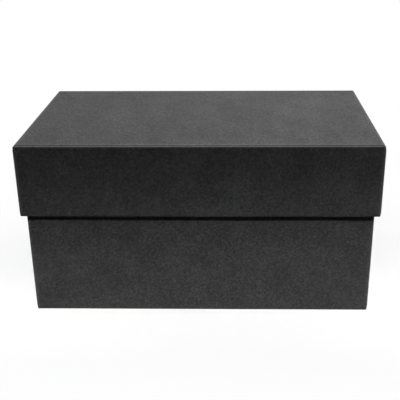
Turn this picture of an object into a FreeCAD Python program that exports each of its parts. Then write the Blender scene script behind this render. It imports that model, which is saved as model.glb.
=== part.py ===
"""Two-piece rigid game box: a deep base tray and a shallow lid that slips down over it.

Each tray is a scored greyboard blank folded up and held at its four corners by strips of paper tape,
called stays. A liner sheet covers the inside. A wrap sheet covers the outside: it is folded over the rim
and turned in, and its long panels have ears that reach round the corners, under the short panels.

The box stands on its base with +Z up. X runs along the long side and the front faces -Y. The origin is the
centre of the underside. Sizes are in millimetres.
"""

import FreeCAD, Part
import math
import os

import Sketcher

DRIVING_SIZES = {
    "inside_length": 190.0,  # clear length of the base, between its liner walls
    "inside_width": 108.0,  # clear width of the base
    "inside_depth": 98.0,  # from the base's liner floor to the top of its rim
    "lid_inside_depth": 38.8,  # from the lid's liner to the edge of its rim
    "board_thickness": 1.8,  # greyboard of both trays
    "fold_radius": 0.5,  # outer radius of the board where it is scored and folded
    "corner_slit": 0.15,  # gap between a short wall's end and the long wall beside it
    "liner_paper": 0.2,  # thickness of the lining sheet
    "wrap_paper": 0.2,  # thickness of the wrapping sheet
    "stay_tape": 0.15,  # thickness of the corner tape
    "stay_leg": 10.0,  # reach of the tape along each wall, from the corner
    "stay_end_gap": 0.7,  # from the tape's ends to the board's floor fold and to its rim
    "ear_past_stay": 3.0,  # reach of the wrap's ear past the tape's edge
    "layer_ramp": 1.0,  # length over which the wrap climbs onto a layer below it
    "seam_setback": 0.4,  # from the corner's bend to the raw edge of the short panel
    "turn_in": 17.0,  # depth of the wrap's flaps inside the rim
    "flap_gap": 0.4,  # from a flap's end to the inside corner, at the rim
    "flap_taper": 5.0,  # how much further each end of a flap is cut back at its lower edge
    "slip_clearance": 0.25,  # gap on each side between the base's corners and the lid's flaps
}

BOARD = "Sizes.board_thickness"
FOLD = "Sizes.fold_radius"
LINER = "Sizes.liner_paper"
WRAP = "Sizes.wrap_paper"
TAPE = "Sizes.stay_tape"
STAY_LEG = "Sizes.stay_leg"
STAY_GAP = "Sizes.stay_end_gap"
RAMP = "Sizes.layer_ramp"
SLIP = "Sizes.slip_clearance"

# Turn about Z of a stay's corner, by the side signs of the corner that it is on
CORNER_TURNS = {(1, 1): 0.0, (-1, 1): 90.0, (-1, -1): 180.0, (1, -1): 270.0}
ON_EDGE = 1e-6

doc = FreeCAD.newDocument("GameBox")


def fill_sheet():
    """The sheet of driving sizes: a name in column A, its value and alias in column B."""
    sheet = doc.addObject("Spreadsheet::Sheet", "Sizes")
    for row, (name, value) in enumerate(DRIVING_SIZES.items(), start=1):
        sheet.set(f"A{row}", name)
        sheet.set(f"B{row}", str(value))
        sheet.setAlias(f"B{row}", name)
    doc.recompute()


class Tray:
    """The sizes of one tray, as expressions on the sheet.

    A tray is drawn floor down, with the wrap's outer floor face at z = 0 and the rim up.
    """

    def __init__(self, name, inside_length, inside_width, inside_depth):
        self.name = name
        self.inside_length = inside_length
        self.inside_width = inside_width
        self.board_length = f"({inside_length} + 2 * {LINER} + 2 * {BOARD})"
        self.board_width = f"({inside_width} + 2 * {LINER} + 2 * {BOARD})"
        self.floor_thickness = f"({WRAP} + {BOARD} + {LINER})"
        self.height = f"({self.floor_thickness} + {inside_depth})"
        self.board_rim = f"({self.height} - {WRAP})"
        # Over the corners, where the tape and the ears build up under the wrap
        self.outside_length = f"({self.board_length} + 2 * {TAPE} + 4 * {WRAP})"
        self.outside_width = f"({self.board_width} + 2 * {TAPE} + 2 * {WRAP})"
        self.upside_down_at = None


class Bend:
    """Between two points of a path: the edge that joins them is an arc about this centre."""

    def __init__(self, x, y):
        self.x = x
        self.y = y


def new_body(label):
    body = doc.addObject("PartDesign::Body", label)
    body.Label = label
    return body


def place(body, tray, x="0", y="0", z="0", turn=0.0):
    """Sets a piece down at a point of its tray, turned about the tray's own Z axis by so many degrees."""
    rotation = FreeCAD.Rotation(FreeCAD.Vector(0, 0, 1), turn)
    if tray.upside_down_at is not None:
        rotation = FreeCAD.Rotation(FreeCAD.Vector(1, 0, 0), 180) * rotation
        y = f"-({y})"
        z = f"{tray.upside_down_at} - ({z})"
    body.Placement = FreeCAD.Placement(FreeCAD.Vector(), rotation)
    for axis, expression in zip("xyz", (x, y, z)):
        body.setExpression(f"Placement.Base.{axis}", expression)


def origin_plane(body, role):
    return next(f for f in body.Origin.OriginFeatures if f.Role == role)


def new_sketch(body, name, role="XY_Plane", offset="0"):
    """A sketch on one of the body's own planes, moved along that plane's normal."""
    sketch = body.newObject("Sketcher::SketchObject", name)
    sketch.AttachmentSupport = (origin_plane(body, role), [""])
    sketch.MapMode = "FlatFace"
    sketch.setExpression("AttachmentOffset.Base.z", offset)
    return sketch


def fix(sketch, kind, edge, end, expression):
    """Dimensions one coordinate of a point from the sketch's origin: kind is DistanceX or DistanceY."""
    value = sketch.evalExpression(expression)
    axis = -2 if kind == "DistanceX" else -1
    if abs(value) < ON_EDGE:
        sketch.addConstraint(Sketcher.Constraint("PointOnObject", edge, end, axis))
    elif value > 0:
        index = sketch.addConstraint(Sketcher.Constraint(kind, -1, 1, edge, end, value))
        sketch.setExpression(f"Constraints[{index}]", expression)
    else:
        index = sketch.addConstraint(Sketcher.Constraint(kind, edge, end, -1, 1, -value))
        sketch.setExpression(f"Constraints[{index}]", f"-({expression})")


def draw(sketch, path):
    """Draws a closed outline, fully dimensioned, through points given as pairs of expressions.

    A Bend between two points makes an arc of the edge between them. A point after a bend lies straight
    across or straight above its centre, and the arc's own radius gives its other coordinate.
    """
    points = [step for step in path if not isinstance(step, Bend)]
    bends = {}
    for index, step in enumerate(path):
        if isinstance(step, Bend):
            bends[sum(not isinstance(s, Bend) for s in path[:index]) - 1] = step
    at = [FreeCAD.Vector(*(sketch.evalExpression(c) for c in point), 0) for point in points]
    edges = []
    for index, start in enumerate(at):
        finish = at[(index + 1) % len(at)]
        bend = bends.get(index)
        if bend is None:
            edge = sketch.addGeometry(Part.LineSegment(start, finish))
            edges.append((edge, 1, 2))
            continue
        centre = FreeCAD.Vector(sketch.evalExpression(bend.x), sketch.evalExpression(bend.y), 0)
        from_start = start - centre
        from_finish = finish - centre
        ahead = from_start.cross(from_finish).z > 0
        first, last = (from_start, from_finish) if ahead else (from_finish, from_start)
        circle = Part.Circle(centre, FreeCAD.Vector(0, 0, 1), from_start.Length)
        angles = (math.atan2(first.y, first.x), math.atan2(last.y, last.x))
        edge = sketch.addGeometry(Part.ArcOfCircle(circle, *angles))
        edges.append((edge, 1, 2) if ahead else (edge, 2, 1))
        fix(sketch, "DistanceX", edge, 3, bend.x)
        fix(sketch, "DistanceY", edge, 3, bend.y)
    for index, (edge, _, end) in enumerate(edges):
        next_edge, next_start, _ = edges[(index + 1) % len(edges)]
        sketch.addConstraint(Sketcher.Constraint("Coincident", edge, end, next_edge, next_start))
    for index, (edge, start, _) in enumerate(edges):
        x, y = points[index]
        bend = bends.get((index - 1) % len(edges))
        if bend is None or y == bend.y:
            fix(sketch, "DistanceY", edge, start, y)
        if bend is None or x == bend.x:
            fix(sketch, "DistanceX", edge, start, x)


def draw_rectangle(sketch, left, right, low, high):
    draw(sketch, [(left, low), (right, low), (right, high), (left, high)])


def draw_centred_rectangle(sketch, length, width):
    draw_rectangle(sketch, f"-{length} / 2", f"{length} / 2", f"-{width} / 2", f"{width} / 2")


def pad(body, sketch, length, name):
    feature = body.newObject("PartDesign::Pad", name)
    feature.Profile = sketch
    feature.setExpression("Length", length)
    doc.recompute()
    return feature


def pocket(body, sketch, length, name):
    """Cuts a sketch's outline up from its plane."""
    feature = body.newObject("PartDesign::Pocket", name)
    feature.Profile = sketch
    feature.Reversed = True
    feature.setExpression("Length", length)
    doc.recompute()
    return feature


def round_outside(body, feature, radius, name):
    """Rounds a tray's folds: the edges round its floor and the four that stand at its corners."""
    box = feature.Shape.BoundBox

    def on_face(low, high, limit):
        return abs(low - limit) < ON_EDGE and abs(high - limit) < ON_EDGE

    names = []
    for index, edge in enumerate(feature.Shape.Edges, start=1):
        bound = edge.BoundBox
        on_end = any(on_face(bound.XMin, bound.XMax, limit) for limit in (box.XMin, box.XMax))
        on_side = any(on_face(bound.YMin, bound.YMax, limit) for limit in (box.YMin, box.YMax))
        on_floor = on_face(bound.ZMin, bound.ZMax, box.ZMin)
        if on_end + on_side + on_floor == 2:
            names.append(f"Edge{index}")
    rounded = body.newObject("PartDesign::Fillet", name)
    rounded.Base = (feature, names)
    rounded.setExpression("Radius", radius)
    doc.recompute()
    return rounded


def hollow_out(body, feature, wall, name):
    """Leaves a wall of that thickness inside a tray's outline, open at the top."""
    top = max(range(len(feature.Shape.Faces)), key=lambda i: feature.Shape.Faces[i].CenterOfMass.z)
    hollow = body.newObject("PartDesign::Thickness", name)
    hollow.Base = (feature, [f"Face{top + 1}"])
    hollow.Reversed = True
    hollow.Join = "Intersection"
    hollow.setExpression("Value", wall)
    doc.recompute()
    return hollow


def mirror(body, feature, name, *roles):
    """Repeats a feature across one of the body's planes, or across two for all four corners."""
    mirrors = []
    for role in roles:
        mirrored = body.newObject("PartDesign::Mirrored", f"{name}_{role}")
        mirrored.MirrorPlane = (origin_plane(body, role), [""])
        mirrors.append(mirrored)
    if len(mirrors) == 1:
        repeated = mirrors[0]
    else:
        repeated = body.newObject("PartDesign::MultiTransform", name)
        repeated.Transformations = mirrors
    repeated.Originals = [feature]
    body.Tip = repeated
    doc.recompute()
    return repeated


def make_board(tray):
    """The greyboard: a floor and four walls folded up from one blank, cut apart at the corners."""
    body = new_body(f"{tray.name}_board")
    long_half = f"{tray.board_length} / 2"
    short_half = f"{tray.board_width} / 2"
    floor = new_sketch(body, "FloorOutline")
    draw_centred_rectangle(floor, tray.board_length, tray.board_width)
    pad(body, floor, BOARD, "Floor")

    walls = new_sketch(body, "WallOutlines")
    wall_end = f"({short_half} - {BOARD} - Sizes.corner_slit)"
    draw_rectangle(walls, f"-{long_half}", long_half, f"{short_half} - {BOARD}", short_half)
    draw_rectangle(walls, f"-{long_half}", long_half, f"-{short_half}", f"{BOARD} - {short_half}")
    draw_rectangle(walls, f"{long_half} - {BOARD}", long_half, f"-{wall_end}", wall_end)
    draw_rectangle(walls, f"-{long_half}", f"{BOARD} - {long_half}", f"-{wall_end}", wall_end)
    folded = pad(body, walls, f"{tray.board_rim} - {WRAP}", "Walls")
    round_outside(body, folded, FOLD, "FoldedEdges")
    place(body, tray, z=WRAP)
    return body


def make_liner(tray):
    """The lining sheet: it covers the board's inner faces up to the edge of the rim."""
    body = new_body(f"{tray.name}_liner")
    outline = new_sketch(body, "LinerOutline")
    draw_centred_rectangle(
        outline, f"({tray.inside_length} + 2 * {LINER})", f"({tray.inside_width} + 2 * {LINER})"
    )
    sheet = pad(body, outline, f"{tray.board_rim} - {WRAP} - {BOARD}", "LinerBlock")
    hollow_out(body, sheet, LINER, "LinerSheet")
    place(body, tray, z=f"{WRAP} + {BOARD}")
    return body


def stay_path(corner_x, corner_y):
    """The outline of a strip of tape bent round a board corner, with the board on its low side in X and Y."""
    centre = Bend(f"{corner_x} - {FOLD}", f"{corner_y} - {FOLD}")
    leg_x = f"{corner_x} - {STAY_LEG}"
    leg_y = f"{corner_y} - {STAY_LEG}"
    outer_x = f"{corner_x} + {TAPE}"
    outer_y = f"{corner_y} + {TAPE}"
    return [
        (outer_x, leg_y),
        (outer_x, centre.y),
        centre,
        (centre.x, outer_y),
        (leg_x, outer_y),
        (leg_x, corner_y),
        (centre.x, corner_y),
        centre,
        (corner_x, centre.y),
        (corner_x, leg_y),
    ]


def stay_span(tray):
    """Where a stay starts above the outer floor face, and its length."""
    return f"{WRAP} + {FOLD} + {STAY_GAP}", f"{tray.board_rim} - {WRAP} - {FOLD} - 2 * {STAY_GAP}"


def make_stay(tray, x_sign, y_sign):
    """One corner stay: a strip of paper tape bent round the outside of a board corner."""
    y_side_sign = y_sign if tray.upside_down_at is None else -y_sign
    side = "right" if x_sign > 0 else "left"
    face = "back" if y_side_sign > 0 else "front"
    body = new_body(f"{tray.name}_corner_stay_{face}_{side}")
    start, length = stay_span(tray)
    strip = new_sketch(body, "StayOutline")
    draw(strip, stay_path("0", "0"))
    pad(body, strip, length, "Stay")
    place(
        body,
        tray,
        x=f"{x_sign} * {tray.board_length} / 2",
        y=f"{y_sign} * {tray.board_width} / 2",
        z=start,
        turn=CORNER_TURNS[x_sign, y_sign],
    )
    return body


def build_up_path(tray):
    """How far the wrap stands out near one corner, in plan.

    On the long wall it climbs over the tape. It turns the corner as the ear, which lies on the tape and then
    on the board of the short wall. The short panel covers the ear and stops just short of the bend.
    """
    corner_x = f"{tray.board_length} / 2"
    corner_y = f"{tray.board_width} / 2"
    centre = Bend(f"{corner_x} - {FOLD}", f"{corner_y} - {FOLD}")
    within_x = f"{corner_x} + {WRAP} / 2"
    within_y = f"{corner_y} + {WRAP} / 2"
    ear_x = f"{corner_x} + {TAPE} + {WRAP}"
    panel_on_board = f"{corner_x} + {WRAP}"
    panel_on_ear = f"{corner_x} + 2 * {WRAP}"
    panel_on_both = f"{corner_x} + {TAPE} + 2 * {WRAP}"
    seam = f"{corner_y} - {FOLD} - Sizes.seam_setback"
    tape_end = f"{corner_y} - {STAY_LEG}"
    tape_foot = f"{corner_y} - {STAY_LEG} - {RAMP}"
    ear_end = f"{corner_y} - {STAY_LEG} - {RAMP} - Sizes.ear_past_stay"
    ear_foot = f"{corner_y} - {STAY_LEG} - 2 * {RAMP} - Sizes.ear_past_stay"
    long_over_tape = f"{corner_y} + {TAPE} + {WRAP}"
    long_on_board = f"{corner_y} + {WRAP}"
    long_tape_end = f"{corner_x} - {STAY_LEG}"
    long_tape_foot = f"{corner_x} - {STAY_LEG} - {RAMP}"
    return [
        (within_x, ear_foot),
        (panel_on_board, ear_foot),
        (panel_on_ear, ear_end),
        (panel_on_ear, tape_foot),
        (panel_on_both, tape_end),
        (panel_on_both, seam),
        (ear_x, seam),
        (ear_x, centre.y),
        centre,
        (centre.x, long_over_tape),
        (long_tape_end, long_over_tape),
        (long_tape_foot, long_on_board),
        (long_tape_foot, within_y),
        (centre.x, within_y),
        centre,
        (within_x, centre.y),
    ]


def rim_path(tray):
    """A rectangle with bent corners, half a sheet outside the board's own outline."""
    far_x = f"{tray.board_length} / 2 - {FOLD}"
    far_y = f"{tray.board_width} / 2 - {FOLD}"
    out_x = f"{tray.board_length} / 2 + {WRAP} / 2"
    out_y = f"{tray.board_width} / 2 + {WRAP} / 2"
    path = []
    for x_sign, y_sign in ((1, 1), (-1, 1), (-1, -1), (1, -1)):
        on_end = (f"{x_sign} * ({out_x})", f"{y_sign} * ({far_y})")
        on_side = (f"{x_sign} * ({far_x})", f"{y_sign} * ({out_y})")
        centre = Bend(on_side[0], on_end[1])
        first, last = (on_end, on_side) if x_sign == y_sign else (on_side, on_end)
        path += [first, centre, last]
    return path


def flap_path(half_length, tray):
    """A turned-in flap seen from inside: full length at the rim, cut back towards its lower edge."""
    top = f"({half_length} - Sizes.flap_gap)"
    low = f"({top} - Sizes.flap_taper)"
    edge = f"{tray.board_rim} - Sizes.turn_in"
    return [(f"-{low}", edge), (low, edge), (top, tray.height), (f"-{top}", tray.height)]


def make_wrap(tray):
    """The wrapping sheet: floor, walls, rim and turned-in flaps, with its ears at the corners."""
    body = new_body(f"{tray.name}_wrap")
    outline = new_sketch(body, "WrapOutline")
    draw_centred_rectangle(
        outline, f"({tray.board_length} + 2 * {WRAP})", f"({tray.board_width} + 2 * {WRAP})"
    )
    block = pad(body, outline, tray.height, "WrapBlock")
    folded = round_outside(body, block, f"{FOLD} + {WRAP}", "WrapFolds")
    hollow_out(body, folded, WRAP, "WrapSheet")

    rim = new_sketch(body, "RimOutline", offset=tray.board_rim)
    draw(rim, rim_path(tray))
    draw_centred_rectangle(
        rim, f"({tray.inside_length} - 2 * {WRAP})", f"({tray.inside_width} - 2 * {WRAP})"
    )
    pad(body, rim, WRAP, "RimFold")

    long_flap = new_sketch(body, "LongFlapOutline", "XZ_Plane", f"-{tray.inside_width} / 2")
    draw(long_flap, flap_path(f"{tray.inside_length} / 2", tray))
    mirror(body, pad(body, long_flap, WRAP, "LongFlap"), "LongFlaps", "XZ_Plane")
    short_flap = new_sketch(body, "ShortFlapOutline", "YZ_Plane", f"{tray.inside_length} / 2 - {WRAP}")
    draw(short_flap, flap_path(f"({tray.inside_width} / 2 - {WRAP})", tray))
    mirror(body, pad(body, short_flap, WRAP, "ShortFlap"), "ShortFlaps", "YZ_Plane")

    above_fold = f"{FOLD} + {WRAP}"
    build_up = new_sketch(body, "BuildUpOutline", offset=above_fold)
    draw(build_up, build_up_path(tray))
    raised = pad(body, build_up, f"{tray.board_rim} - ({above_fold})", "BuildUp")
    mirror(body, raised, "BuildUps", "YZ_Plane", "XZ_Plane")

    start, length = stay_span(tray)
    seat = new_sketch(body, "StaySeatOutline", offset=start)
    draw(seat, stay_path(f"{tray.board_length} / 2", f"{tray.board_width} / 2"))
    mirror(body, pocket(body, seat, length, "StaySeat"), "StaySeats", "YZ_Plane", "XZ_Plane")
    place(body, tray)
    return body


def make_tray(tray):
    pieces = [make_board(tray), make_liner(tray), make_wrap(tray)]
    pieces += [make_stay(tray, x_sign, y_sign) for x_sign, y_sign in CORNER_TURNS]
    return pieces


def check(pieces):
    """Stops the build if any object failed, or a piece isn't one valid solid."""
    doc.recompute()
    failed = [o.Name for o in doc.Objects if "Invalid" in o.State or "Error" in o.State]
    if failed:
        raise RuntimeError(f"these objects failed: {failed}")
    for piece in pieces:
        shape = piece.Shape
        if shape.isNull() or not shape.isValid() or len(shape.Solids) != 1:
            raise RuntimeError(f"{piece.Label} is not one valid solid")


def export(pieces):
    os.makedirs("parts", exist_ok=True)
    for piece in pieces:
        piece.Shape.exportStep(f"parts/{piece.Label}.step")
        bound = piece.Shape.BoundBox
        size = f"{bound.XLength:.2f} x {bound.YLength:.2f} x {bound.ZLength:.2f}"
        print(f"{piece.Label}: {size} mm, {piece.Shape.Volume:.1f} mm3")


fill_sheet()
base = Tray("base", "Sizes.inside_length", "Sizes.inside_width", "Sizes.inside_depth")
# The lid's flaps clear the base's corners, and its liner comes down on the base's rim
lid = Tray(
    "lid",
    f"({base.outside_length} + 2 * {SLIP} + 2 * {WRAP})",
    f"({base.outside_width} + 2 * {SLIP} + 2 * {WRAP})",
    "Sizes.lid_inside_depth",
)
lid.upside_down_at = f"({base.height} + {lid.floor_thickness})"

box_pieces = make_tray(base) + make_tray(lid)
check(box_pieces)
export(box_pieces)
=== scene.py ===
# %% [markdown]
# # A plain black game box
# Two trays of greyboard make this box: a deep base and a shallow lid that slips down over it. What the eye
# meets is the black paper glued over the board. The lesson folds that paper with Geometry Nodes, gives it
# and the hidden materials their grain, and lights the box softly on a white floor.
#
# The packed model comes first, because the box's own sizes are read from it.

# %% Load the packed model
import math
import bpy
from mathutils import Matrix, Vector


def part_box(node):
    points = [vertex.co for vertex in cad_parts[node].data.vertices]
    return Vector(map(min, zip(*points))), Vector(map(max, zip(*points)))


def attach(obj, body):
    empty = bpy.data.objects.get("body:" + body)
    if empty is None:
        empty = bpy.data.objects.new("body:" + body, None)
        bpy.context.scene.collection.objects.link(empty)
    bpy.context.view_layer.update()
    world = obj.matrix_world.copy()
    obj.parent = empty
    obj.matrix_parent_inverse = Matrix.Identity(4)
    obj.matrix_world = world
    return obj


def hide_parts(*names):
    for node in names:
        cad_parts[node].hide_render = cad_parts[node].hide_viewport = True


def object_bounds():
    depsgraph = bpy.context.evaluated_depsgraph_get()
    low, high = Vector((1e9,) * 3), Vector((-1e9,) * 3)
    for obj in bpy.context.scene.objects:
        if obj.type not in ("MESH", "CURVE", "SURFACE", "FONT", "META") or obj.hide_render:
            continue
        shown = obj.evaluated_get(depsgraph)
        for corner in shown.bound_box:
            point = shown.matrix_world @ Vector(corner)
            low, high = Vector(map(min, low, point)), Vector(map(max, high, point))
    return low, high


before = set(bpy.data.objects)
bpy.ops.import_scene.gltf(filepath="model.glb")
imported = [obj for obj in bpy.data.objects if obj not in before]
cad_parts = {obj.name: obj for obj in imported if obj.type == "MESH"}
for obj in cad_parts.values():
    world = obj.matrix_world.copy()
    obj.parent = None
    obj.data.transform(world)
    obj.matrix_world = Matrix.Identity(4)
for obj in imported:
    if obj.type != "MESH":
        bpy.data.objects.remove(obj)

from types import SimpleNamespace

import bpy
from mathutils import Matrix, Vector

cad_low, cad_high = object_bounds()
scene = bpy.context.scene
MM = 0.001
print("pieces of the packed model:", len(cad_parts))

# %% [markdown]
# ## Sizes of the two trays
# A tray is drawn floor down, whichever way up it is used. Its sizes could be typed in, but then they would
# no longer fit once the box is made larger. So the boxes round the packed pieces give the board's outline,
# the thickness of each layer and the reach of the corner tape. The rest is how the sheet was cut.

# %% Read the trays' sizes
CUT = SimpleNamespace(
    board_fold=0.5 * MM,  # outer radius of the board's folds
    hem_radius=0.32 * MM,  # how tightly the paper turns over the rim
    seam_setback=0.4 * MM,  # from a corner's bend to the short panel's raw edge
    seam_width=0.04 * MM,  # how much the raw edge leans
    ear_past_tape=3.0 * MM,  # how far a long panel's ear reaches past the tape and its ramp
    ramp=1.0 * MM,  # length over which the paper climbs onto a layer below it
    turn_in=17.0 * MM,  # depth of the flaps behind the rim
    flap_gap=0.4 * MM,  # from the inner corner to the end of a flap, at the rim
    flap_taper=5.0 * MM,  # how much further back a flap is cut at its free edge
)


def read_tray(name):
    """Sizes of a wrapped tray, from the boxes round its packed pieces."""
    board_low, board_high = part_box(f"{name}_board")
    _, liner_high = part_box(f"{name}_liner")
    wrap_low, wrap_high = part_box(f"{name}_wrap")
    stay_low, stay_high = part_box(f"{name}_corner_stay_front_left")
    paper = ((wrap_high.z - wrap_low.z) - (board_high.z - board_low.z)) / 2
    board = board_high.x - liner_high.x
    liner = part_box("lid_liner")[1].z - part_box("base_wrap")[1].z  # the lid's lining rests on the base's rim
    tape = board_low.x - stay_low.x
    tape_reach = stay_high.x - stay_low.x - tape + paper
    fold_radius = CUT.board_fold + paper
    return SimpleNamespace(
        name=name,
        length=board_high.x - board_low.x + 2 * paper,
        width=board_high.y - board_low.y + 2 * paper,
        height=wrap_high.z - wrap_low.z,
        paper=paper,
        tape=tape,
        tape_reach=tape_reach,
        ear_reach=tape_reach + CUT.ramp + CUT.ear_past_tape,
        rim_width=board + liner + 2 * paper,
        fold_radius=fold_radius,
        seam=fold_radius + CUT.seam_setback,
    )


base_tray = read_tray("base")
lid_tray = read_tray("lid")
for tray in (base_tray, lid_tray):
    sizes = (tray.length, tray.width, tray.height)
    print(tray.name, "tray:", " x ".join(f"{size / MM:.1f}" for size in sizes), "mm")

# %% [markdown]
# ## Expressions instead of wires
# Node trees are maths. They could be wired node by node, but maths reads best as a formula. This class holds
# one output of a node. Python's own operators on it add the Math node that does the same, and one method
# adds any other node. It serves the geometry and the materials alike, because both use the same Math node.


# %% A node's output that can be used in formulas
class Signal:
    def __init__(self, socket):
        self.socket = socket

    @staticmethod
    def node(tree, kind, settings=None, inputs=None, output=0):
        """Adds a node, sets it up, and fills or wires its sockets."""
        made = tree.nodes.new(kind)
        for name, value in (settings or {}).items():
            setattr(made, name, value)
        for name, value in (inputs or {}).items():
            if isinstance(value, Signal):
                tree.links.new(value.socket, made.inputs[name])
            else:
                made.inputs[name].default_value = value
        return Signal(made.outputs[output])

    def also(self, output):
        """Another output of the same node."""
        return Signal(self.socket.node.outputs[output])

    def math(self, operation, *values):
        tree = self.socket.id_data
        return Signal.node(tree, "ShaderNodeMath", {"operation": operation}, dict(enumerate(values)))

    def __add__(self, other):
        return self.math("ADD", self, other)

    __radd__ = __add__

    def __sub__(self, other):
        return self.math("SUBTRACT", self, other)

    def __rsub__(self, other):
        return self.math("SUBTRACT", other, self)

    def __mul__(self, other):
        return self.math("MULTIPLY", self, other)

    __rmul__ = __mul__

    def __truediv__(self, other):
        return self.math("DIVIDE", self, other)

    def __pow__(self, other):
        return self.math("POWER", self, other)

    def __abs__(self):
        return self.math("ABSOLUTE", self)

    def __lt__(self, other):
        return self.math("LESS_THAN", self, other)

    def __gt__(self, other):
        return self.math("GREATER_THAN", self, other)

    def least(self, other):
        return self.math("MINIMUM", self, other)

    def most(self, other):
        return self.math("MAXIMUM", self, other)

    def between(self, low, high):
        return self.most(low).least(high)

    def rise(self, start, end):
        """0 up to start, 1 from end on, and a smooth slope between them."""
        settings = {"interpolation_type": "SMOOTHSTEP"}
        inputs = {"Value": self, "From Min": start, "From Max": end}
        return Signal.node(self.socket.id_data, "ShaderNodeMapRange", settings, inputs)

    def split(self):
        """The three parts of a vector."""
        x = Signal.node(self.socket.id_data, "ShaderNodeSeparateXYZ", inputs={0: self})
        return x, x.also(1), x.also(2)


print("formulas ready")

# %% [markdown]
# ## Black wrapping paper
# The paper is dyed through and uncoated. Close to, it is a felt of fibres: a fine tooth with lighter flecks,
# and a cloudy look that papermakers call formation. An image of paper would do, but it would have seams and
# one fixed scale, so the grain is made of noise in the box's own coordinates. Every finish of the box
# starts from the helpers here.


# %% Helpers for materials
def new_material(name):
    material = bpy.data.materials.new(name)
    material.use_nodes = True
    tree = material.node_tree
    shader = next(n for n in tree.nodes if n.type == "BSDF_PRINCIPLED")
    return material, tree, shader


def object_place(tree):
    return Signal.node(tree, "ShaderNodeTexCoord", output="Object")


def stretched(tree, place, turn, squeeze):
    """Coordinates squeezed along some axes and turned by some degrees, so that noise runs in streaks."""
    inputs = {"Vector": place, "Rotation": [math.radians(t) for t in turn], "Scale": squeeze}
    return Signal.node(tree, "ShaderNodeMapping", inputs=inputs)


def noise(tree, place, scale, detail=3.0, roughness=0.6):
    inputs = {"Vector": place, "Scale": scale, "Detail": detail, "Roughness": roughness}
    return Signal.node(tree, "ShaderNodeTexNoise", inputs=inputs)


def painted(tree, name):
    """A value kept on the mesh's points."""
    return Signal.node(tree, "ShaderNodeAttribute", {"attribute_name": name}, output="Fac")


def grey(level):
    return (level, level, level, 1.0)


def mix_colours(tree, factor, first, second):
    inputs = {0: factor, 6: first, 7: second}
    return Signal.node(tree, "ShaderNodeMix", {"data_type": "RGBA"}, inputs, output=2)


def link(tree, signal, socket):
    tree.links.new(signal.socket, socket)


def add_relief(tree, shader, height, depth, strength):
    """Bumps the surface by a signal."""
    inputs = {"Strength": strength, "Distance": depth, "Height": height}
    link(tree, Signal.node(tree, "ShaderNodeBump", inputs=inputs), shader.inputs["Normal"])


print("material helpers ready")

# %% [markdown]
# The clouds are one large noise, the flecks one small noise, and the fibres two noises that are stretched
# into streaks. All of it is longer front to back, the way the sheet ran on its machine. Noise is built on a
# grid, and a panel that lies along the grid gets other flecks than one that cuts across it, so the whole
# felt is turned a little against the box.

# %% Grain of the paper
GRAIN = (1.0, 0.55, 1.0)  # the felt is longer front to back
FELT_TURN = (17, 29, 11)  # degrees, so that no panel lies along the noise's own grid
FIBRE_TURNS = ((12, 25, 8), (-35, 10, 62))  # degrees, for two directions of fibres
FIBRE_STRETCH = (0.3, 1.0, 1.0)
CELLS = SimpleNamespace(cloud=60.0, fleck=780.0, fibre=1500.0, speck=900.0)  # noise cells in a metre
MIDDLE = 0.5  # what a noise is on average


def paper_grain(tree):
    """Two signals about the middle: the cloudy formation, and the tooth of flecks and fibres."""
    place = stretched(tree, object_place(tree), FELT_TURN, GRAIN)
    cloud = noise(tree, place, CELLS.cloud)
    fleck = noise(tree, place, CELLS.fleck, detail=2.0)
    fibres = []
    for turn in FIBRE_TURNS:
        streaks = stretched(tree, place, turn, FIBRE_STRETCH)
        fibres.append(noise(tree, streaks, CELLS.fibre, detail=1.0))
    fibre = (fibres[0] + fibres[1]) * 0.5
    return cloud, fleck * 0.6 + fibre * 0.4


print("noise cells in a metre:", vars(CELLS))

# %% [markdown]
# The dye is black, but the flecks in it are dark grey. Handling rubs dye off the folds and corners, and the
# same lighter tone there is also a painted highlight. A groove pressed in beside the long folds gets painted
# shade, darker than the panel, and the ridge behind it gets a painted highlight. Painting that by hand would
# need the sheet laid out flat as an image. The folding rule further down knows where each fold is, so it
# leaves three masks on the sheet's points, edge, groove and ridge, and the paper mixes its colours by them.

# %% Black paper and its cut edge
# deep and fleck are the dye; the rubbed tone is wear and painted highlight; the groove tone is painted shade
DYE_AND_PAINTED_LIGHT = SimpleNamespace(deep=grey(0.026), fleck=grey(0.090), rubbed_and_highlit=grey(0.135), groove=grey(0.003))
CUT_DYE = SimpleNamespace(deep=grey(0.03), fleck=grey(0.11))
FELT = SimpleNamespace(
    cloud=0.55,  # how much the clouds shade the felt
    tooth=2.2,  # how much the flecks and fibres do
    lean=1.6,  # above 1, small light flecks stand on a dark felt
    ridge_highlight_share=0.6,  # how much painted highlight a ridge gets, beside an edge's 1
    wear_and_highlight_share=0.7,  # how far wear and painted highlight lighten the dye
    roughness=0.66,
    relief=0.2 * MM,
)


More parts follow.
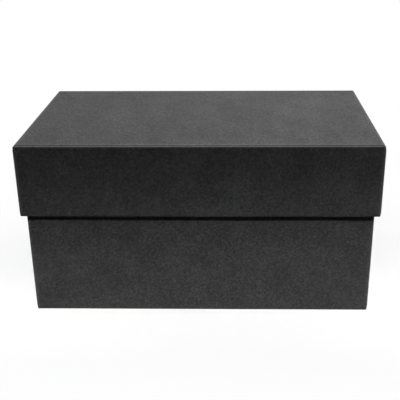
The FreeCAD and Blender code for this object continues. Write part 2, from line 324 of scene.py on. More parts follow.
def black_paper(name):
    material, tree, shader = new_material(name)
    cloud, tooth = paper_grain(tree)
    shade = (cloud - MIDDLE) * FELT.cloud + (tooth - MIDDLE) * FELT.tooth + MIDDLE
    body = mix_colours(tree, shade.between(0.0, 1.0) ** FELT.lean, DYE_AND_PAINTED_LIGHT.deep, DYE_AND_PAINTED_LIGHT.fleck)
    edge, groove, ridge = (painted(tree, mask) for mask in ("edge", "groove", "ridge"))
    # wear and painted highlight on folds, corners and the ridge; rubbing takes the dye off the raised fibres
    # first
    rubbed_and_highlit = ((edge + ridge * FELT.ridge_highlight_share) * (tooth * 1.2 + 0.2)).between(0.0, 1.0)
    worn_and_highlit = mix_colours(tree, rubbed_and_highlit * FELT.wear_and_highlight_share, body, DYE_AND_PAINTED_LIGHT.rubbed_and_highlit)
    # painted shade: the groove's mask turns the colour near black
    link(tree, mix_colours(tree, groove, worn_and_highlit, DYE_AND_PAINTED_LIGHT.groove), shader.inputs["Base Color"])
    # light flecks, thick clouds and the worn and highlit places shine a little more, and the groove less
    felted = FELT.roughness - (tooth - MIDDLE) * 0.15 - (cloud - MIDDLE) * 0.2
    roughness = felted - rubbed_and_highlit * 0.08 + groove * 0.4
    link(tree, roughness.between(0.3, 1.0), shader.inputs["Roughness"])
    add_relief(tree, shader, tooth * 1.5 + cloud * 1.5, depth=FELT.relief, strength=0.8)
    shader.inputs["Specular IOR Level"].default_value = 0.2
    shader.inputs["Sheen Weight"].default_value = 0.06
    shader.inputs["Sheen Roughness"].default_value = 0.45
    return material


def cut_edge_paper(name):
    """The raw edge of the sheet: the dye is thinner inside the felt, so a cut looks dark grey."""
    material, tree, shader = new_material(name)
    cloud, tooth = paper_grain(tree)
    colour = mix_colours(tree, tooth, CUT_DYE.deep, CUT_DYE.fleck)
    link(tree, colour, shader.inputs["Base Color"])
    link(tree, 0.8 + (cloud - MIDDLE) * 0.2, shader.inputs["Roughness"])
    return material


wrap_paper = black_paper("black_wrap_paper")
cut_paper = cut_edge_paper("cut_paper_edge")
print("wrap finishes:", wrap_paper.name, cut_paper.name)

# %% [markdown]
# ## Lining paper, greyboard and corner tape
# These show only when the lid is off, or when someone takes the box apart. The lining is smooth off-white
# paper. Greyboard is pulped waste paper: grey-brown, speckled with bits of ink and fibre. The tape on the
# corners is gummed kraft paper, whose long brown fibres all run one way. A flat colour would pass from afar,
# but the paper's grain is there already, so each finish only needs its own colours and roughness.

# %% Hidden finishes
LINING = SimpleNamespace(dark=(0.70, 0.685, 0.65, 1.0), light=(0.79, 0.78, 0.75, 1.0), roughness=0.62)
PULP = SimpleNamespace(dark=(0.24, 0.22, 0.19, 1.0), light=(0.40, 0.37, 0.33, 1.0), roughness=0.85)
INK = (0.09, 0.09, 0.10, 1.0)
KRAFT = SimpleNamespace(dark=(0.27, 0.15, 0.07, 1.0), light=(0.42, 0.26, 0.13, 1.0), roughness=0.55)
KRAFT_STRETCH = (1.0, 1.0, 0.08)  # its fibres run along the strip, up the corner
SPAN = (0.3, 0.7)  # between these lies most of a noise
PEAKS = (0.68, 0.74)  # only its peaks reach past these


def lining_paper(name):
    material, tree, shader = new_material(name)
    cloud, tooth = paper_grain(tree)
    shade = (cloud * 0.4 + tooth * 0.6).rise(*SPAN)
    link(tree, mix_colours(tree, shade, LINING.dark, LINING.light), shader.inputs["Base Color"])
    link(tree, LINING.roughness + (tooth - MIDDLE) * 0.25, shader.inputs["Roughness"])
    add_relief(tree, shader, tooth + cloud, depth=0.04 * MM, strength=0.25)
    return material


def speckled_board(name):
    material, tree, shader = new_material(name)
    cloud, tooth = paper_grain(tree)
    speck = noise(tree, object_place(tree), CELLS.speck, detail=1.0).rise(*PEAKS)
    pulp = mix_colours(tree, tooth.rise(*SPAN), PULP.dark, PULP.light)
    link(tree, mix_colours(tree, speck * 0.7, pulp, INK), shader.inputs["Base Color"])
    link(tree, PULP.roughness + (cloud - MIDDLE) * 0.15, shader.inputs["Roughness"])
    add_relief(tree, shader, tooth, depth=0.08 * MM, strength=0.4)
    return material


def kraft_tape(name):
    material, tree, shader = new_material(name)
    place = stretched(tree, object_place(tree), (0, 0, 0), KRAFT_STRETCH)
    streak = noise(tree, place, CELLS.fibre)
    colour = mix_colours(tree, streak.rise(*SPAN), KRAFT.dark, KRAFT.light)
    link(tree, colour, shader.inputs["Base Color"])
    link(tree, KRAFT.roughness + (streak - MIDDLE) * 0.3, shader.inputs["Roughness"])
    add_relief(tree, shader, streak, depth=0.04 * MM, strength=0.3)
    return material


FINISHES = {
    "board": speckled_board("greyboard"),
    "liner": lining_paper("lining_paper"),
    "stay": kraft_tape("kraft_tape"),
}
print("hidden finishes:", [finish.name for finish in FINISHES.values()])

# %% [markdown]
# Each hidden piece tells by a word of its name what it is made of. Its shape stays the packed one.


# %% Dress the hidden pieces
def dress(name, material):
    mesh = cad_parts[name].data
    mesh.materials.clear()
    mesh.materials.append(material)


dressed = []
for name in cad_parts:
    for word, finish in FINISHES.items():
        if word in name.split("_"):
            dress(name, finish)
            dressed.append(name)
print("hidden pieces dressed:", len(dressed))

# %% [markdown]
# ## The blank of a wrap
# A wrap is one sheet that covers a tray's floor and walls, turns over the rim and ends in four flaps inside.
# It could be modelled flat and folded by hand, hinge by hinge. Here it is drawn as an open box with sharp
# edges, closed into a thin shell of two layers, and a rule bends it afterwards. The grid has to be fine
# where the paper bends and may be coarse on the flats, so the places of its lines come first.

# %% Lines of the grid
FLAT_STEP = 4.0 * MM  # between lines on the flats
NEAR_FLOOR = 5.0 * MM  # a stretch of closer rows above the floor's fold
NEAR_RIM = 3.0 * MM  # and one below the rim


def through(marks):
    """Places from 0 through each mark, with so many equal steps before it."""
    places = [0.0]
    for mark, steps in marks:
        start = places[-1]
        places += [start + (mark - start) * step / steps for step in range(1, steps + 1)]
    return places


def along_wall(tray, half):
    """Places along a wall, from one corner to the other, about its middle."""
    flap_start = tray.rim_width + CUT.flap_gap
    marks = [
        (tray.fold_radius, 5),  # round the corner's bend
        (tray.seam, 1),
        (tray.seam + CUT.seam_width, 1),  # the raw edge of the short panel
        (tray.rim_width, 4),
        (flap_start, 1),
        (flap_start + CUT.flap_taper, 12),  # the slanted end of the flap
        (tray.tape_reach, 2),
        (tray.tape_reach + CUT.ramp, 3),  # down from the tape
        (tray.ear_reach, 2),
        (tray.ear_reach + CUT.ramp, 3),  # down from the ear
    ]
    marks.append((half, round((half - marks[-1][0]) / FLAT_STEP)))
    from_corner = through(marks)
    return [d - half for d in from_corner] + [half - d for d in reversed(from_corner[:-1])]


def up_wall(tray):
    """Heights up a wall: close together at the floor's fold and at the rim."""
    flat_from = tray.fold_radius + NEAR_FLOOR
    flat_to = tray.height - NEAR_RIM
    marks = [
        (tray.fold_radius, 5),
        (flat_from, 12),
        (flat_to, round((flat_to - flat_from) / FLAT_STEP)),
        (tray.height - CUT.hem_radius, 4),
        (tray.height, 3),
    ]
    return through(marks)


def walls_of(tray):
    """The four walls, in order round the tray: places along each, and how far its nearer corner is."""
    half_length, half_width = tray.length / 2, tray.width / 2
    xs = along_wall(tray, half_length)
    ys = along_wall(tray, half_width)
    front = [(x, -half_width, half_length - abs(x)) for x in xs]
    right = [(half_length, y, half_width - abs(y)) for y in ys]
    back = [(-x, half_width, from_corner) for x, _, from_corner in front]
    left = [(-half_length, -y, from_corner) for _, y, from_corner in right]
    return xs, ys, (front, right, back, left)


for tray in (base_tray, lid_tray):
    xs, ys, _ = walls_of(tray)
    print(tray.name, "grid:", len(xs), "by", len(ys), "by", len(up_wall(tray)), "lines")

# %% [markdown]
# Two values are kept on each point of the blank: how far past the rim it lies, counted inwards from the
# wall, and which side of the sheet it is on. A point on the rim still stands at its wall, and only its inset
# tells it apart. That keeps the drawing simple, and the folding rule does the rest.


# %% A blank's points and faces
class Blank:
    def __init__(self, tray):
        self.tray = tray
        self.points = []
        self.insets = []
        self.faces = []
        self.is_cut = []
        self.known = {}

    def point(self, x, y, z, inset=0.0):
        """The number of a point, which is added if it is new."""
        key = tuple(round(value / MM, 4) for value in (x, y, z, inset))
        if key not in self.known:
            self.known[key] = len(self.points)
            self.points.append((x, y, z))
            self.insets.append(inset)
        return self.known[key]

    def face(self, corners, is_cut=False):
        """A face, unless it has shrunk to a line or lies where the sheet is cut away."""
        corners = list(dict.fromkeys(corners))
        if None not in corners and len(corners) > 2:
            self.faces.append(corners)
            self.is_cut.append(is_cut)

    def strip(self, low, high, cuts=()):
        """Faces between two rows of points."""
        for step in range(len(low) - 1):
            corners = (low[step], low[step + 1], high[step + 1], high[step])
            self.face(corners, step in cuts)

    def wall_row(self, wall, z):
        return [self.point(x, y, z) for x, y, _ in wall]

    def rim_row(self, wall, inset):
        """A row of points on the rim. Rows of two walls share their points on the mitre between them."""
        tray = self.tray
        row = []
        for x, y, from_corner in wall:
            mitre = max(from_corner, tray.fold_radius)
            if inset < mitre - CUT.seam_width / 4:
                row.append(self.point(x, y, tray.height, inset))
                continue
            foot_x = math.copysign(tray.length / 2 - mitre, x)
            row.append(self.point(foot_x, math.copysign(tray.width / 2, y), tray.height, mitre))
        return row

    def flap_row(self, wall, drop):
        """A row of points on a flap: it is cut back at both ends, the more the lower it lies."""
        tray = self.tray
        cut_back = tray.rim_width + CUT.flap_gap + CUT.flap_taper * drop / CUT.turn_in
        row = []
        for x, y, from_corner in wall:
            if from_corner < tray.rim_width - CUT.seam_width / 4:
                row.append(None)
                continue
            moved = max(0.0, cut_back - from_corner)
            if abs(y) == tray.width / 2:
                x = math.copysign(abs(x) - moved, x)
            else:
                y = math.copysign(abs(y) - moved, y)
            row.append(self.point(x, y, tray.height - drop, tray.rim_width))
        return row

    def close(self):
        """Adds the glued side and the cut edge all round. Gives the number of points on a side."""
        count = len(self.points)
        outer = list(self.faces)
        self.points += self.points
        self.insets += self.insets
        for corners in outer:
            self.face([corner + count for corner in reversed(corners)])
        edges = {}
        for corners in outer:
            for start, end in zip(corners, corners[1:] + corners[:1]):
                edges[start, end] = None
        for start, end in edges:
            if (end, start) not in edges:
                self.face((end, start, start + count, end + count), is_cut=True)
        return count


print("a blank keeps:", ", ".join(vars(Blank(base_tray))))

# %% [markdown]
# The floor is a plain grid. Each wall is a stack of rows that goes on over the rim and down the flap. The
# panels of the short walls are laid over the ears of the long ones, and the faces at their raw edges are
# marked as cut.


# %% Draw both blanks
def draw_blank(tray):
    blank = Blank(tray)
    xs, ys, walls = walls_of(tray)
    floor = [[blank.point(x, y, 0.0) for y in ys] for x in xs]
    for low, high in zip(floor, floor[1:]):
        blank.strip(low, high)
    hem = CUT.hem_radius
    insets = through([(hem, 3), (tray.rim_width - hem, 3), (tray.rim_width, 3)])[1:]
    drops = through([(hem, 3), (CUT.turn_in, 9)])[1:]
    for side, wall in enumerate(walls):
        seams = []
        if side % 2 == 1:  # the short walls are the second and the fourth
            middles = [(a[2] + b[2]) / 2 for a, b in zip(wall, wall[1:])]
            seams = [i for i, m in enumerate(middles) if tray.seam < m < tray.seam + CUT.seam_width]
        rows = [blank.wall_row(wall, z) for z in up_wall(tray)]
        rim = [blank.rim_row(wall, inset) for inset in insets]
        flap = [blank.flap_row(wall, drop) for drop in drops]
        for low, high in zip(rows, rows[1:]):
            blank.strip(low, high, seams)
        for low, high in zip([rows[-1]] + rim + flap, rim + flap):
            blank.strip(low, high)
    return blank


def blank_object(tray, name):
    blank = draw_blank(tray)
    count = blank.close()
    mesh = bpy.data.meshes.new(name)
    mesh.from_pydata(blank.points, [], blank.faces)
    mesh.attributes.new("inset", "FLOAT", "POINT").data.foreach_set("value", blank.insets)
    glued = [0.0] * count + [1.0] * count
    mesh.attributes.new("glued", "FLOAT", "POINT").data.foreach_set("value", glued)
    mesh.attributes.new("cut", "BOOLEAN", "FACE").data.foreach_set("value", blank.is_cut)
    piece = bpy.data.objects.new(name, mesh)
    scene.collection.objects.link(piece)
    print(name, "blank:", len(mesh.vertices), "points,", len(mesh.polygons), "faces")
    return piece


base_wrap = blank_object(base_tray, "base_wrap_sheet")
lid_wrap = blank_object(lid_tray, "lid_wrap_sheet")

# %% [markdown]
# ## Folding the paper
# A paper edge is never sharp: the sheet bends round the board. A Bevel modifier could round the box, but it
# knows nothing of the layers under the paper. So each point is measured from a smaller box inside. The
# nearest place on that inner box is the core, and the direction from the core to the point is the way the
# paper faces there. Setting the point one fold radius from its core rounds the edges and corners in one
# stroke. The rim is rounded in the same way, in the plane of its section.
#
# The same rule raises the paper over the tape and the ears at the corners, presses a groove beside the long
# folds and leaves the panels slightly uneven. It is one tree for both trays, with their sizes as inputs.

# %% The folding rule
FOLD_SIZES = (
    "Length",
    "Width",
    "Height",
    "Paper",
    "Tape",
    "Tape reach",
    "Ear reach",
    "Seam",
    "Ramp",
    "Rim width",
    "Fold radius",
    "Hem radius",
    "Groove",
    "Panel sink",
    "Corner wear",
    "Bow",
    "Unevenness",
    "Flap lift",
    "Turn in",
    "Turn",
    "Rise",
    "Seed",
)
ON_FACE = 0.001 * MM  # a point closer than this to a face lies on it


def folding_tree():
    tree = bpy.data.node_groups.new("fold_wrap_round_board", "GeometryNodeTree")
    sockets = tree.interface
    sockets.new_socket("Geometry", in_out="INPUT", socket_type="NodeSocketGeometry")
    for name in FOLD_SIZES:
        sockets.new_socket(name, in_out="INPUT", socket_type="NodeSocketFloat")
    for name in ("Paper finish", "Cut finish"):
        sockets.new_socket(name, in_out="INPUT", socket_type="NodeSocketMaterial")
    sockets.new_socket("Geometry", in_out="OUTPUT", socket_type="NodeSocketGeometry")
    return tree


def node(kind, settings=None, inputs=None, output=0):
    """A node of the folding rule."""
    return Signal.node(rule, kind, settings, inputs, output)


def attribute(name, kind="FLOAT"):
    return node("GeometryNodeInputNamedAttribute", {"data_type": kind}, {"Name": name})


def vector(x, y, z):
    return node("ShaderNodeCombineXYZ", inputs={0: x, 1: y, 2: z})


rule = folding_tree()
given = rule.nodes.new("NodeGroupInput")
size = {name: Signal(given.outputs[name]) for name in FOLD_SIZES}
foot_x, foot_y, foot_z = node("GeometryNodeInputPosition").split()
inset = attribute("inset")
glued = attribute("glued")
half_length = size["Length"] * 0.5
half_width = size["Width"] * 0.5
height = size["Height"]
radius = size["Fold radius"]
print("inputs of the folding rule:", len(FOLD_SIZES))

# %% [markdown]
# The rim first. Its section is a slab as wide as the wall, so its core is a line down the middle. The point
# is set a hem's radius from it, less the sheet's thickness on the glued side. Towards its free edge, a
# flap comes off the wall by a hair.

# %% Round the rim
FLAP_CURL = 3.0  # the higher, the nearer to its free edge a flap starts to lift
hem = size["Hem radius"]
rim_core = inset.between(hem, size["Rim width"] - hem)
rim_core_z = foot_z.least(height - hem)
across = inset - rim_core
above = foot_z - rim_core_z
hem_reach = (across * across + above * above) ** 0.5
hem_turn = (hem - size["Paper"] * glued) / hem_reach
below_rim = height - foot_z
on_flap = inset > size["Rim width"] - ON_FACE
slack = size["Flap lift"] * on_flap * (below_rim / size["Turn in"]) ** FLAP_CURL
round_inset = rim_core + across * hem_turn + slack
round_z = rim_core_z + above * hem_turn
print("nodes with the rim:", len(rule.nodes))

# %% [markdown]
# Then the folds, from the core box. The three parts of the direction tell how far round a bend a point lies:
# on a flat one of them is 1, and half way round an edge none is. That gives the mask for rubbed edges.

# %% Round the folds
HALF_WAY = 1 - math.sqrt(0.5)  # what the largest part lacks to 1, half way round an edge
core_x = foot_x.between(radius - half_length, half_length - radius)
core_y = foot_y.between(radius - half_width, half_width - radius)
core_z = round_z.most(radius)
away = vector(foot_x - core_x, foot_y - core_y, round_z - core_z)
outward = node("ShaderNodeVectorMath", {"operation": "NORMALIZE"}, {0: away})
out_x, out_y, out_z = (abs(part) for part in outward.split())
fold_edge = 1 - out_x.most(out_y).most(out_z)
rim_edge = 1 - abs(across / hem_reach).most(abs(above / hem_reach))
on_edge = (fold_edge.most(rim_edge) / HALF_WAY).between(0.0, 1.0)
print("nodes with the folds:", len(rule.nodes))

# %% [markdown]
# Next, what lies under the paper. Distances from the corner decide: tape up to its reach, the ear a little
# further, each with a short ramp. The long panels go round the corner, so only the short walls have the
# seam. The layers fade out at the floor's fold and under the rim.

# %% Raise the paper over its layers
from_end = half_length - abs(foot_x)
from_side = half_width - abs(foot_y)
on_short = from_end < ON_FACE
on_outside = inset < ON_FACE
on_wall = on_outside * foot_z.rise(radius, radius + size["Ramp"] * 2)
on_wall = on_wall * (1 - foot_z.rise(height - size["Ramp"] * 2, height - hem))
tape_end = size["Tape reach"] + size["Ramp"]
tape_long = size["Tape"] * (1 - from_end.rise(size["Tape reach"], tape_end))
tape_short = size["Tape"] * (1 - from_side.rise(size["Tape reach"], tape_end))
ear_end = size["Ear reach"] + size["Ramp"]
ear = size["Paper"] * (1 - from_side.rise(size["Ear reach"], ear_end)) * (from_side > size["Seam"])
under = on_short * (tape_short + ear * (1 - glued)) + (1 - on_short) * tape_long
print("nodes with the layers:", len(rule.nodes))

# %% [markdown]
# The photographed lid has a dark groove beside its long fold and a bright ridge behind it, as if the paper
# had been pressed down there. The panel sinks a little in the middle, the walls bow out, and no flat is
# quite flat. A bump in the material would show all that in a picture, but the mesh would stay straight, so
# the points themselves are moved. The groove's mask also darkens the paper there as painted shade, and the
# ridge's mask lightens it as a painted highlight.

# %% Press and bow the panels
GROOVE = (0.6 * MM, 1.7 * MM, 2.9 * MM)  # where the groove beside a fold starts, is deepest and ends
RIDGE = (2.8 * MM, 3.8 * MM, 5.4 * MM)  # where the ridge beyond it starts, is highest and ends
GROOVE_MIDDLE = 0.45  # depth of the groove at the middle of the fold, next to 1 near the corners
GROOVE_END = (0.98, 1.0)  # where it runs out, as a share of the way to the corner
RIDGE_LOSS = 0.7  # how much weaker the ridge's painted highlight is at the corners
SWELLS = 28.0  # noise cells of the unevenness in a metre


def hump(distance, start, top, end):
    """Rises from 0 at the start to 1 at the top, and falls to 0 at the end."""
    return distance.rise(start, top) * (1 - distance.rise(top, end))


on_panel = foot_z < ON_FACE
along = abs(foot_x) / half_length
deepness = (GROOVE_MIDDLE + along**2 * (1 - GROOVE_MIDDLE)) * (1 - along.rise(*GROOVE_END))
# pressed sinks the groove, and its mask also gives the paper painted shade there
pressed = hump(from_side, *GROOVE) * on_panel * deepness
# the ridge's mask gives the paper only a painted highlight
ridge_highlight_mask = hump(from_side, *RIDGE) * on_panel * (1 - along**2 * RIDGE_LOSS)
sunk = size["Panel sink"] * from_side.rise(RIDGE[1], RIDGE[2]) * on_panel * (1 - along**2)
place = vector(foot_x, foot_y, foot_z + size["Seed"])
wave = node("ShaderNodeTexNoise", inputs={"Vector": place, "Scale": SWELLS, "Detail": 2.0})
from_middle = (1 - on_short) * (foot_x / half_length) + on_short * (foot_y / half_width)
bulge = size["Bow"] * (foot_z / height) * (1 - from_middle**2)
pressing = size["Groove"] * pressed + sunk + size["Unevenness"] * wave
worked = (bulge - pressing) * (1 - glued) * on_outside
raised = radius + under * on_wall + worked - round_inset
print("nodes with the pressing:", len(rule.nodes))

# %% [markdown]
# Wear follows the hands: the bends themselves, a strip beside them that fades out, and most of all the
# corners. The same lighter mask is also a painted highlight on the folds and corners. It could be painted on,
# but the rule already knows every distance. Of a point's distances from the tray's end, side and floor, one is
# 0 on the face it lies on, and the middle one is how far it is from the nearest fold.

# %% Mark the worn places and the painted highlights
WEAR_AND_HIGHLIGHT_REACH = 3.2 * MM  # how far from a fold the wear and painted highlight fade out
FOLD_WEAR_AND_HIGHLIGHT = 0.8  # wear and painted highlight of the strip beside a fold, where the bend itself has 1
NARROWER = 2.0  # how much narrower that strip is on the walls, beside the floor's fold
from_corner = from_end.most(from_side)
from_fold = from_end.least(from_side).most(from_corner.least(foot_z * NARROWER))
handled_and_highlit = (1 - from_fold.rise(0.0, WEAR_AND_HIGHLIGHT_REACH)) ** 2 * FOLD_WEAR_AND_HIGHLIGHT
handled_and_highlit = handled_and_highlit.most((1 - from_corner.rise(0.0, WEAR_AND_HIGHLIGHT_REACH)) ** 2 * size["Corner wear"])
edge = on_edge.most(handled_and_highlit * on_outside)
stored = Signal(given.outputs["Geometry"])
# masks for the paper: edge is wear and painted highlight, groove is painted shade, ridge is painted highlight
for name, mask in (("edge", edge), ("groove", pressed), ("ridge", ridge_highlight_mask)):
    stored = node(
        "GeometryNodeStoreNamedAttribute",
        {"data_type": "FLOAT", "domain": "POINT"},
        {"Geometry": stored, "Name": name, "Value": mask * (1 - glued)},
    )
print("nodes with the wear:", len(rule.nodes))

# %% [markdown]
# The new place of each point is its core plus the direction times its reach. The lid's tray is turned over
# at the end. The tree closes with the finishes: the cut faces get the raw edge's.

# %% Set the points and finish the tree
core = vector(core_x, core_y, core_z)
reached = node("ShaderNodeVectorMath", {"operation": "SCALE"}, {0: outward, "Scale": raised})
folded = node("ShaderNodeVectorMath", {"operation": "ADD"}, {0: core, 1: reached})
moved = node("GeometryNodeSetPosition", inputs={"Geometry": stored, "Position": folded})
turned = node(
    "GeometryNodeTransform",
    inputs={
        "Geometry": moved,
        "Rotation": vector(size["Turn"], 0.0, 0.0),
        "Translation": vector(0.0, 0.0, size["Rise"]),
    },
)
whole = node("GeometryNodeRealizeInstances", inputs={"Geometry": turned})
covered = node(
    "GeometryNodeSetMaterial",
    inputs={"Geometry": whole, "Material": Signal(given.outputs["Paper finish"])},
)
finished = node(
    "GeometryNodeSetMaterial",
    inputs={
        "Geometry": covered,
        "Selection": attribute("cut", "BOOLEAN"),
        "Material": Signal(given.outputs["Cut finish"]),
    },
)
rule.links.new(finished.socket, rule.nodes.new("NodeGroupOutput").inputs["Geometry"])
print("nodes in the folding rule:", len(rule.nodes))

# %% [markdown]
# ## Folding both wraps
# The modifier gets each tray's sizes by its sockets' identifiers. It could stay on the piece, but a piece is
# handed to its body as a plain mesh, so the folded result is kept and the modifier goes.

# %% Fold and hand over
WORKED = SimpleNamespace(groove=0.13 * MM, panel_sink=0.08 * MM, unevenness=0.05 * MM, flap_lift=0.08 * MM)
SMOOTH_UP_TO = math.radians(35)  # a sharper turn than this stays an edge


def fold(piece, tray, turn, rise, seed, bow, wear_and_highlight):
    values = {
        "Length": tray.length,
        "Width": tray.width,
        "Height": tray.height,
        "Paper": tray.paper,
        "Tape": tray.tape,
        "Tape reach": tray.tape_reach,
        "Ear reach": tray.ear_reach,
        "Seam": tray.seam + CUT.seam_width / 2,
        "Ramp": CUT.ramp,
        "Rim width": tray.rim_width,
        "Fold radius": tray.fold_radius,
        "Hem radius": CUT.hem_radius,
        "Groove": WORKED.groove,
        "Panel sink": WORKED.panel_sink,
        "Corner wear": wear_and_highlight,
        "Bow": bow,
        "Unevenness": WORKED.unevenness,
        "Flap lift": WORKED.flap_lift,
        "Turn in": CUT.turn_in,
        "Turn": turn,
        "Rise": rise,
        "Seed": seed,
        "Paper finish": wrap_paper,
        "Cut finish": cut_paper,
    }
    modifier = piece.modifiers.new("fold", "NODES")
    modifier.node_group = rule
    for item in rule.interface.items_tree:
        if item.in_out == "INPUT" and item.name in values:
            modifier[item.identifier] = values[item.name]
    shaped = piece.evaluated_get(bpy.context.evaluated_depsgraph_get())
    mesh = bpy.data.meshes.new_from_object(shaped)
    piece.modifiers.clear()
    piece.data = mesh
    mesh.polygons.foreach_set("use_smooth", [True] * len(mesh.polygons))
    mesh.set_sharp_from_angle(angle=SMOOTH_UP_TO)
    print(piece.name, "folded:", len(mesh.polygons), "faces")


# wear: the corners' wear and painted highlight, stronger on the lid
fold(base_wrap, base_tray, turn=0.0, rise=0.0, seed=3.7, bow=0.05 * MM, wear_and_highlight=0.8)
fold(lid_wrap, lid_tray, turn=math.pi, rise=cad_high.z, seed=11.2, bow=0.13 * MM, wear_and_highlight=1.3)
for name, piece in (("base", base_wrap), ("lid", lid_wrap)):
    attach(piece, name)
    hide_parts(f"{name}_wrap")

# %% [markdown]
# ## Floor and backdrop
# The photograph shows the box on pure white. A white floor in a white room would give that, but it would
# also throw so much light back that the dark line under the lid fills up. So there are two rooms. The camera
# meets white paper, which takes the box's shadow and fades to plain white away from it, and the light meets
# a dark floor. A ray through glass sees what the camera sees. A mirrored ray sees a tenth of it, because the
# line under the lid has to stay dark, and the box has no metal that would need more.

# %% Who meets the white
GLOSS_SHARE = 0.1  # how much of the white the paper mirrors


def meets_backdrop(tree):
    """1 for rays that meet the white backdrop, and a share of 1 for mirrored ones."""
    rays = Signal.node(tree, "ShaderNodeLightPath", output="Is Camera Ray")
    return rays.most(rays.also("Is Transmission Ray")).most(rays.also("Is Glossy Ray") * GLOSS_SHARE)


def mix_shaders(tree, factor, first, second):
    return Signal.node(tree, "ShaderNodeMixShader", inputs={0: factor, 1: first, 2: second})


print("share of the white that gloss meets:", GLOSS_SHARE)

# %% [markdown]
# The floor is a sheet of paper. It lies just below the box, so that the two never share a plane.

# %% Floor under the box
SHEET_MARGIN = 0.12  # how far the white sheet reaches past the box
BELOW = -0.05 * MM
reach_x = cad_high.x + SHEET_MARGIN
reach_y = cad_high.y + SHEET_MARGIN
corners = [(x * reach_x, y * reach_y, BELOW) for x, y in ((-1, -1), (1, -1), (1, 1), (-1, 1))]
floor_mesh = bpy.data.meshes.new("floor")
floor_mesh.from_pydata(corners, [], [(0, 1, 2, 3)])
floor = bpy.data.objects.new("floor", floor_mesh)
scene.collection.objects.link(floor)
print("floor:", [round(2 * reach, 3) for reach in (reach_x, reach_y)], "m")

# %% [markdown]
# Its finish measures how far a place is from the box's outline, and lets plain white take over from there. A
# sheet that reached to the horizon would need no fading, but it would be lit unevenly.

# %% White finish of the floor
FADED_OUT = 0.9  # share of the margin where only plain white is left
VEIL = 0.8  # how much of plain white covers the sheet beside the box, for the camera
SHEET = grey(0.8)
DARK_SHEET = grey(0.08)
WHITE = grey(1.0)
white_floor = bpy.data.materials.new("white_floor")
white_floor.use_nodes = True
tree = white_floor.node_tree
tree.nodes.clear()
x, y, _ = object_place(tree).split()
past_x = (abs(x) - cad_high.x).most(0.0)
past_y = (abs(y) - cad_high.y).most(0.0)
far = ((past_x * past_x + past_y * past_y) ** 0.5).rise(0.0, SHEET_MARGIN * FADED_OUT)
paper = Signal.node(tree, "ShaderNodeBsdfDiffuse", inputs={"Color": SHEET})
plain = Signal.node(tree, "ShaderNodeEmission", inputs={"Color": WHITE, "Strength": 1.0})
seen = mix_shaders(tree, far * (1 - VEIL) + VEIL, paper, plain)
dim = Signal.node(tree, "ShaderNodeBsdfDiffuse", inputs={"Color": DARK_SHEET})
both = mix_shaders(tree, meets_backdrop(tree), dim, seen)
link(tree, both, tree.nodes.new("ShaderNodeOutputMaterial").inputs["Surface"])
floor_mesh.materials.append(white_floor)
print("finish of the floor:", white_floor.name)

# %% [markdown]
# The world behind the floor does the same: white for the camera, and next to nothing for the light.

# %% White backdrop
ROOM_LIGHT = 0.006  # what the backdrop adds to the light
world = bpy.data.worlds.new("white_backdrop")
world.use_nodes = True
tree = world.node_tree
tree.nodes.clear()
room = Signal.node(tree, "ShaderNodeBackground", inputs={"Color": WHITE, "Strength": ROOM_LIGHT})
plain = Signal.node(tree, "ShaderNodeBackground", inputs={"Color": WHITE, "Strength": 1.0})
both = mix_shaders(tree, meets_backdrop(tree), room, plain)
link(tree, both, tree.nodes.new("ShaderNodeOutputWorld").inputs["Surface"])
scene.world = world
scene.view_settings.view_transform = "Standard"
print("backdrop:", world.name)

# %% [markdown]
# ## Light
# In the photograph the top is bright, the front is in shade, and the base's front is lighter than the lid's.
# One large lamp overhead would leave the whole front black. So a lamp overhead and one like a bright wall
# behind the box light the top. High in front, a long narrow lamp fills the front, and one with a tight beam
# in the same place adds light towards the foot of the base. Two lamps stand at the sides, high enough for
# the lid's rim to shade the base there too.
#
# A lamp is described by how bright its face is: 1 is as bright as white paper in full light. Its power
# follows from that and its area.


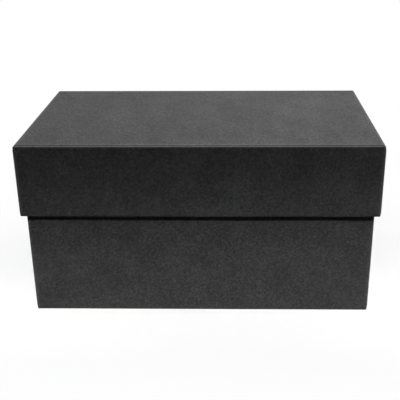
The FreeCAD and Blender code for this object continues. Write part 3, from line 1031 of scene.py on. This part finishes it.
# %% Soft lamps
def lamp(name, place, target, width, depth, level, spread=180):
    """A soft lamp that faces its target. Its beam spreads by so many degrees."""
    data = bpy.data.lights.new(name, "AREA")
    data.shape = "RECTANGLE"
    data.size = width
    data.size_y = depth
    data.energy = level * math.pi * width * depth
    data.spread = math.radians(spread)
    holder = bpy.data.objects.new(name, data)
    holder.location = place
    holder.rotation_euler = (Vector(target) - Vector(place)).to_track_quat("-Z", "Y").to_euler()
    scene.collection.objects.link(holder)


middle = (cad_low + cad_high) / 2
lamp("overhead", (0.1, 0.75, 1.15), middle, width=1.4, depth=0.9, level=2.05)
lamp("bright_wall", (0.6, 1.35, 0.65), middle, width=1.6, depth=1.0, level=1.03)

FRONT_RISE = math.radians(55)
FRONT_AWAY = 1.2
foot = Vector((0.0, cad_low.y, 0.0))
high_front = foot + FRONT_AWAY * Vector((0.03, -math.cos(FRONT_RISE), math.sin(FRONT_RISE)))
lamp("front_strip", high_front, foot, width=1.2, depth=0.05, level=1.5, spread=5.5)
lamp("front_fill", high_front, foot, width=1.2, depth=0.05, level=22.0)

lamp("left_side", (-1.1, 0.3, 0.75), middle, width=0.8, depth=0.5, level=8.0)
lamp("right_side", (1.1, 0.3, 0.75), middle, width=0.8, depth=0.5, level=6.0)

# %% [markdown]
# ## Camera
# The camera could be placed by eye. Here its place was worked out from the box's corners in the photograph,
# so that the two pictures can be laid over each other. The photograph had been trimmed to centre the
# box, so the lens is shifted sideways a little.

# %% Camera at the photograph's angle
PICTURE_PX = 400
TRIMMED_PX = -16  # how far the trimming moved the middle of the picture
PITCH, YAW, ROLL = (math.radians(angle) for angle in (22.909, -1.371, -0.475))
camera_data = bpy.data.cameras.new("camera")
camera_data.sensor_width = 36.0
camera_data.lens = 67.02
camera_data.shift_x = TRIMMED_PX / PICTURE_PX
camera = bpy.data.objects.new("camera", camera_data)
camera.location = (0.01829, -0.43622, 0.23094)
aim = Matrix.Rotation(-YAW, 3, "Z") @ Matrix.Rotation(math.pi / 2 - PITCH, 3, "X")
camera.rotation_euler = (aim @ Matrix.Rotation(ROLL, 3, "Z")).to_euler()
scene.collection.objects.link(camera)
scene.camera = camera
print("camera at", [round(value, 3) for value in camera.location])

# %% [markdown]
